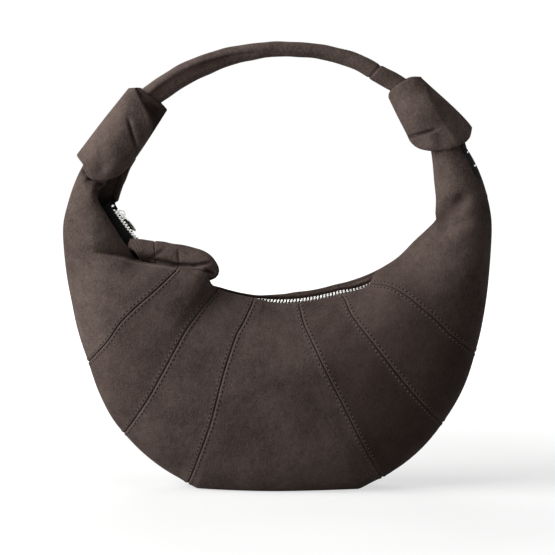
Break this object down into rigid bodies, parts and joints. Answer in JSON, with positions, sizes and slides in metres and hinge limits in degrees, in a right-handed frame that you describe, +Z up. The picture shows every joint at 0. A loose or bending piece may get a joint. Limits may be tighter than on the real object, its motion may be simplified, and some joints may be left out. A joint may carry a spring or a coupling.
{
  "type": "half moon bag",
  "caption": "Crescent-shaped soft leather shoulder bag of sewn wedge panels, closed by a curved metal zip, with a rolled handle knotted to its two horns.",
  "frame": {"origin": "middle of the footprint, on the floor that the bag stands on", "axes": "+Z up, +X to the right as seen from the front, the front faces -Y"},
  "size_m": [0.42, 0.11, 0.4426],
  "materials": {
    "leather": "matt nubuck",
    "lining": "plain cotton",
    "zip_tape": "woven tape",
    "zip_metal": "bright nickel",
    "core": "soft cord"
  },
  "bodies": {
    "bag": {"front_panel_1": "leather", "front_panel_2": "leather", "front_panel_3": "leather", "front_panel_4": "leather", "front_panel_5": "leather", "front_panel_6": "leather", "front_panel_7": "leather", "back_panel_1": "leather", "back_panel_2": "leather", "back_panel_3": "leather", "back_panel_4": "leather", "back_panel_5": "leather", "back_panel_6": "leather", "back_panel_7": "leather", "lining_front": "lining", "lining_back": "lining", "zip_tape_front": "zip_tape", "zip_tape_back": "zip_tape", "zip_teeth_front": "zip_metal", "zip_teeth_back": "zip_metal", "zip_top_stop_front": "zip_metal", "zip_top_stop_back": "zip_metal", "zip_bottom_stop": "zip_metal", "zip_tail": "zip_tape", "zip_tail_stops": "zip_metal", "left_knot": "leather", "right_knot": "leather"},
    "handle": {"handle_sleeve": "leather", "handle_core": "core"},
    "slider": {"zip_slider": "zip_metal", "zip_slider_bridge": "zip_metal"},
    "pull": {"zip_pull": "zip_metal"}
  },
  "joints": [
    {"name": "handle_swing", "type": "hinge", "parent": "bag", "child": "handle", "pos_m": [-0.12574, 0, 0.38305], "axis": [0.9986, 0, 0.0537], "range_deg": [-90, 90]},
    {"name": "slider_travel", "type": "hinge", "parent": "bag", "child": "slider", "pos_m": [0.0025, 0, 0.374], "axis": [0, -1, 0], "range_deg": [0, 106]},
    {"name": "pull_swing", "type": "hinge", "parent": "slider", "child": "pull", "pos_m": [-0.15272, 0, 0.27009], "axis": [0, -1, 0], "range_deg": [0, 150]}
  ]
}
